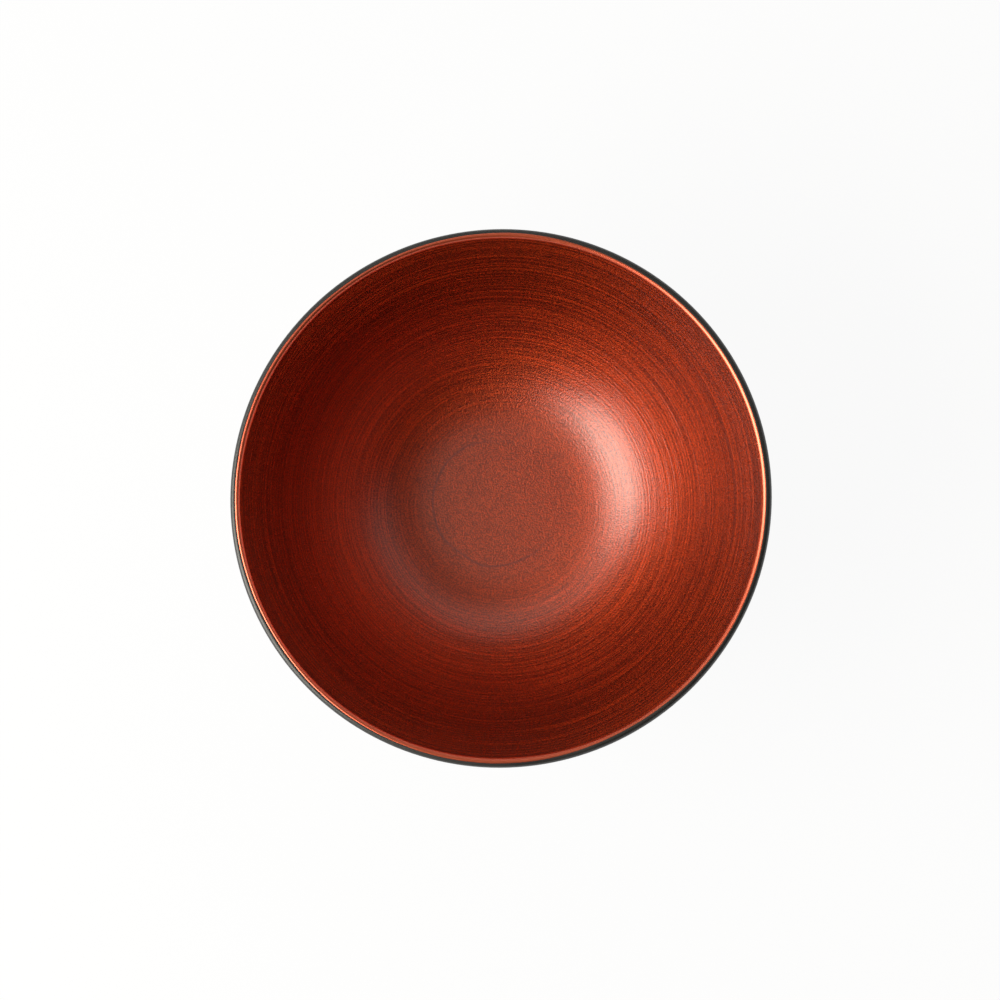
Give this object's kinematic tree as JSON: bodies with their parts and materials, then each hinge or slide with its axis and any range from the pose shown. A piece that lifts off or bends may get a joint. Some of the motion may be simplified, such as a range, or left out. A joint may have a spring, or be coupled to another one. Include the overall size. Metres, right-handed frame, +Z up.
{
  "type": "bowl",
  "caption": "Round footed ceramic bowl with a coppery metallic glaze inside and a satin black glaze outside, for holding and serving food.",
  "frame": {"origin": "centre of the foot ring's contact face, on the surface that the bowl stands on", "axes": "+Z up along the bowl's turning axis, out of its mouth; +X and +Y level, with the slightly longer diameter 28 degrees from +X towards +Y"},
  "size_m": [0.1502, 0.1496, 0.075],
  "materials": {
    "clay": "bare fired clay, matt and slightly gritty, ground flat where it stands",
    "copper_glaze": "satin metallic copper red over fine turning lines, with a soft broad highlight",
    "black_glaze": "satin black, softly grey where light grazes it"
  },
  "bodies": {
    "root": {"clay_body": "clay", "inner_glaze": "copper_glaze", "outer_glaze": "black_glaze", "foot_well_glaze": "black_glaze"}
  },
  "joints": []
}
